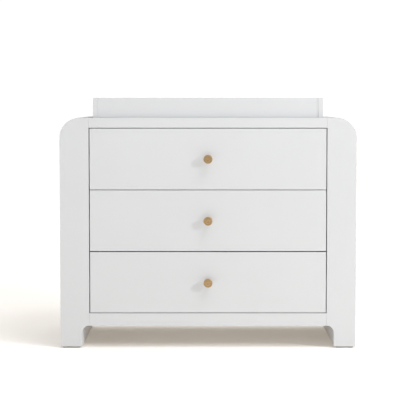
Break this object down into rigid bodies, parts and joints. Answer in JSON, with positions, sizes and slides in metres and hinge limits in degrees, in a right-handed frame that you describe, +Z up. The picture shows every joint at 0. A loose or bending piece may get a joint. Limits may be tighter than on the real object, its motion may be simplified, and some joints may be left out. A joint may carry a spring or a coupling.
{
  "type": "changing table dresser",
  "caption": "White lacquered nursery dresser with inset drawers on telescopic slides, rounded upper corners, short legs and a lift-off changing tray on top.",
  "frame": {"origin": "on the floor, under the middle of the whole box, so halfway between the knobs and the back", "axes": "+X to the right seen from the front, +Y to the back, +Z up; the drawers open towards -Y"},
  "size_m": [1.1, 0.528, 0.9323],
  "materials": {
    "white_lacquer": "satin white lacquer on board",
    "back_board": "matt white foil on hardboard",
    "drawer_wood": "clear sealed birch plywood",
    "slide_zinc": "bright zinc plate",
    "knob_brass": "satin brass",
    "foot_plastic": "moulded warm grey nylon",
    "black_plastic": "moulded black plastic of the slides' levers and bumpers"
  },
  "bodies": {
    "case": {"back_panel": "back_board", "bottom_panel": "white_lacquer", "bottom_rail": "white_lacquer", "foot_pad_front_left": "foot_plastic", "foot_pad_front_right": "foot_plastic", "foot_pad_rear_left": "foot_plastic", "foot_pad_rear_right": "foot_plastic", "front_stile_left": "white_lacquer", "front_stile_right": "white_lacquer", "inner_panel_left": "white_lacquer", "inner_panel_right": "white_lacquer", "leg_board_left": "white_lacquer", "leg_board_right": "white_lacquer", "outer_slide_lower_left": "slide_zinc", "outer_slide_lower_right": "slide_zinc", "outer_slide_middle_left": "slide_zinc", "outer_slide_middle_right": "slide_zinc", "outer_slide_upper_left": "slide_zinc", "outer_slide_upper_right": "slide_zinc", "rear_rail": "white_lacquer", "rear_stile_left": "white_lacquer", "rear_stile_right": "white_lacquer", "side_panel_left": "white_lacquer", "side_panel_right": "white_lacquer", "top_panel": "white_lacquer", "top_rail": "white_lacquer"},
    "drawer_lower": {"drawer_front_lower": "white_lacquer", "drawer_back_lower": "drawer_wood", "drawer_bottom_lower": "drawer_wood", "knob_lower": "knob_brass", "drawer_side_lower_left": "drawer_wood", "inner_slide_lower_left": "slide_zinc", "drawer_side_lower_right": "drawer_wood", "inner_slide_lower_right": "slide_zinc"},
    "mid_lower_left": {"mid_slide_lower_left": "slide_zinc"},
    "mid_lower_right": {"mid_slide_lower_right": "slide_zinc"},
    "drawer_middle": {"drawer_front_middle": "white_lacquer", "drawer_back_middle": "drawer_wood", "drawer_bottom_middle": "drawer_wood", "knob_middle": "knob_brass", "drawer_side_middle_left": "drawer_wood", "inner_slide_middle_left": "slide_zinc", "drawer_side_middle_right": "drawer_wood", "inner_slide_middle_right": "slide_zinc"},
    "mid_middle_left": {"mid_slide_middle_left": "slide_zinc"},
    "mid_middle_right": {"mid_slide_middle_right": "slide_zinc"},
    "drawer_upper": {"drawer_front_upper": "white_lacquer", "drawer_back_upper": "drawer_wood", "drawer_bottom_upper": "drawer_wood", "knob_upper": "knob_brass", "drawer_side_upper_left": "drawer_wood", "inner_slide_upper_left": "slide_zinc", "drawer_side_upper_right": "drawer_wood", "inner_slide_upper_right": "slide_zinc"},
    "mid_upper_left": {"mid_slide_upper_left": "slide_zinc"},
    "mid_upper_right": {"mid_slide_upper_right": "slide_zinc"},
    "tray": {"tray_front": "white_lacquer", "tray_back": "white_lacquer", "tray_side_left": "white_lacquer", "tray_side_right": "white_lacquer"}
  },
  "joints": [
    {"name": "drawer_lower_slide", "type": "slide", "parent": "case", "child": "drawer_lower", "axis": [0, -1, 0], "range_m": [0, 0.38]},
    {"name": "mid_lower_left_slide", "type": "slide", "parent": "case", "child": "mid_lower_left", "axis": [0, -1, 0], "range_m": [0, 0.19]},
    {"name": "mid_lower_right_slide", "type": "slide", "parent": "case", "child": "mid_lower_right", "axis": [0, -1, 0], "range_m": [0, 0.19]},
    {"name": "drawer_middle_slide", "type": "slide", "parent": "case", "child": "drawer_middle", "axis": [0, -1, 0], "range_m": [0, 0.38]},
    {"name": "mid_middle_left_slide", "type": "slide", "parent": "case", "child": "mid_middle_left", "axis": [0, -1, 0], "range_m": [0, 0.19]},
    {"name": "mid_middle_right_slide", "type": "slide", "parent": "case", "child": "mid_middle_right", "axis": [0, -1, 0], "range_m": [0, 0.19]},
    {"name": "drawer_upper_slide", "type": "slide", "parent": "case", "child": "drawer_upper", "axis": [0, -1, 0], "range_m": [0, 0.38]},
    {"name": "mid_upper_left_slide", "type": "slide", "parent": "case", "child": "mid_upper_left", "axis": [0, -1, 0], "range_m": [0, 0.19]},
    {"name": "mid_upper_right_slide", "type": "slide", "parent": "case", "child": "mid_upper_right", "axis": [0, -1, 0], "range_m": [0, 0.19]},
    {"name": "tray_lift", "type": "slide", "parent": "case", "child": "tray", "axis": [0, 0, 1], "range_m": [0, 0.12]}
  ],
  "couplings": [
    {"joint": "mid_lower_left_slide", "follows": "drawer_lower_slide", "ratio": 0.5},
    {"joint": "mid_lower_right_slide", "follows": "drawer_lower_slide", "ratio": 0.5},
    {"joint": "mid_middle_left_slide", "follows": "drawer_middle_slide", "ratio": 0.5},
    {"joint": "mid_middle_right_slide", "follows": "drawer_middle_slide", "ratio": 0.5},
    {"joint": "mid_upper_left_slide", "follows": "drawer_upper_slide", "ratio": 0.5},
    {"joint": "mid_upper_right_slide", "follows": "drawer_upper_slide", "ratio": 0.5}
  ]
}
